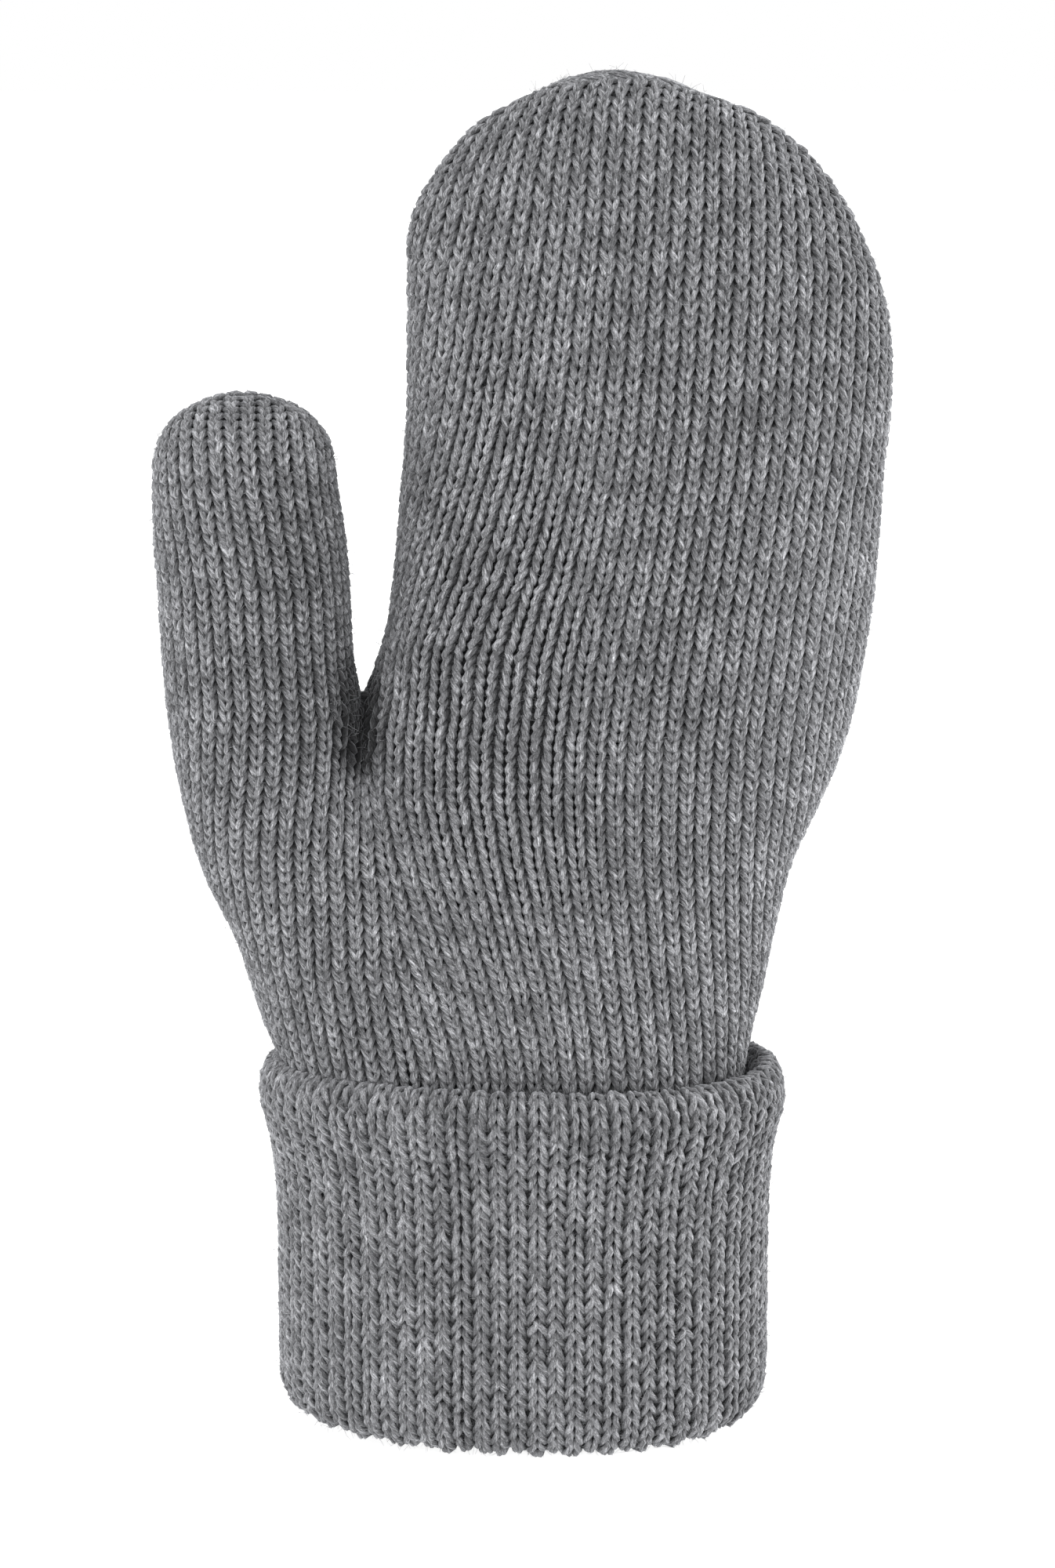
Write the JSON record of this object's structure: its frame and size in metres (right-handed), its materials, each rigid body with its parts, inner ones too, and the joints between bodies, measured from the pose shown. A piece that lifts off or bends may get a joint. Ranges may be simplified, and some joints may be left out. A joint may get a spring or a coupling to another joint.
{
  "type": "knitted wool mitten",
  "caption": "Chunky knitted wool mitten, filled as if worn, with a side thumb and a turned-up cuff with a rolled edge.",
  "frame": {"origin": "centre of the footprint, on the surface that the hem stands on", "axes": "+Z from the hem to the fingertips, palm facing -Y, thumb on the -X side, back of the hand facing +Y"},
  "size_m": [0.1386, 0.0582, 0.262],
  "materials": {
    "wool_hand": "heather grey wool, stocking stitch",
    "wool_cuff": "heather grey wool, turned stocking stitch",
    "closing_yarn": "heather grey wool yarn"
  },
  "bodies": {
    "cuff": {"inner_cuff": "wool_cuff", "turned_up_cuff": "wool_cuff", "rolled_edge": "wool_cuff", "hem_fold": "wool_cuff"},
    "palm": {"palm_and_back": "wool_hand"},
    "fingers": {"finger_pocket": "wool_hand", "fingertip_closing": "closing_yarn"},
    "thumb": {"thumb_stall": "wool_hand", "thumb_join_yarn": "closing_yarn", "thumb_tip_closing": "closing_yarn"}
  },
  "joints": [
    {"name": "wrist_bend", "type": "hinge", "parent": "cuff", "child": "palm", "pos_m": [0, 0, 0.088], "axis": [1, 0, 0], "range_deg": [-25, 30]},
    {"name": "finger_bend", "type": "hinge", "parent": "palm", "child": "fingers", "pos_m": [0, 0, 0.178], "axis": [1, 0, 0], "range_deg": [-10, 55]},
    {"name": "thumb_swing", "type": "hinge", "parent": "palm", "child": "thumb", "pos_m": [-0.0485, 0, 0.128], "axis": [0, -1, 0], "range_deg": [-4, 30]}
  ]
}
